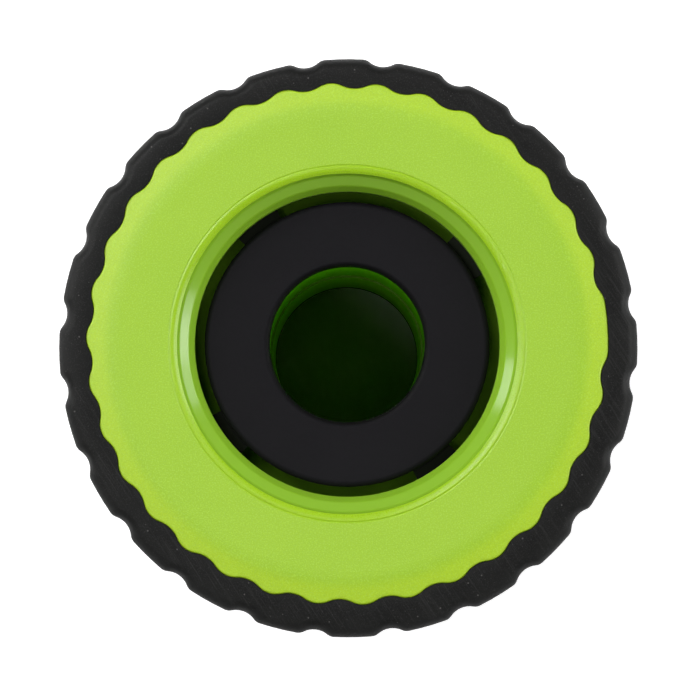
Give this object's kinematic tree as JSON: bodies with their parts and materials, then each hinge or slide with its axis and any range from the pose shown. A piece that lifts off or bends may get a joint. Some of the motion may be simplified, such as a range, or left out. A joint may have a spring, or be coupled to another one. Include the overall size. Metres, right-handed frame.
{
  "type": "foot massage roller",
  "caption": "Upright foot massage roller: fluted black rubber-foam sleeve on a splined lime plastic core with flared end caps, black snap rings and an open centre bore.",
  "frame": {"origin": "centre of the rear face, at the bottom: the roller stands on its rear end cap", "axes": "+Z along the roller's axis towards the front end, which is the end seen in the picture; seen from the front, +X is to the right and +Y is up"},
  "size_m": [0.07, 0.07, 0.15],
  "materials": {
    "tread_foam": "matt, fine closed-cell skin with cut ends",
    "lime_plastic": "satin with a fine spark-eroded grain, lip and bore smooth",
    "black_plastic": "matt",
    "zinc_steel": "bright zinc"
  },
  "bodies": {
    "roller": {"tread_sleeve": "tread_foam", "core_tube": "lime_plastic", "centre_tube": "lime_plastic", "front_end_cap": "lime_plastic", "rear_end_cap": "lime_plastic", "front_cap_screw_1": "zinc_steel", "front_cap_screw_2": "zinc_steel", "front_cap_screw_3": "zinc_steel", "front_cap_screw_4": "zinc_steel", "rear_cap_screw_1": "zinc_steel", "rear_cap_screw_2": "zinc_steel", "rear_cap_screw_3": "zinc_steel", "rear_cap_screw_4": "zinc_steel"},
    "front_ring": {"front_snap_ring": "black_plastic"},
    "rear_ring": {"rear_snap_ring": "black_plastic"}
  },
  "joints": [
    {"name": "front_ring_turn", "type": "hinge", "parent": "roller", "child": "front_ring", "pos_m": [0, 0, 0.1445], "axis": [0, 0, 1], "continuous": true},
    {"name": "rear_ring_turn", "type": "hinge", "parent": "roller", "child": "rear_ring", "pos_m": [0, 0, 0.0055], "axis": [0, 0, -1], "continuous": true}
  ]
}
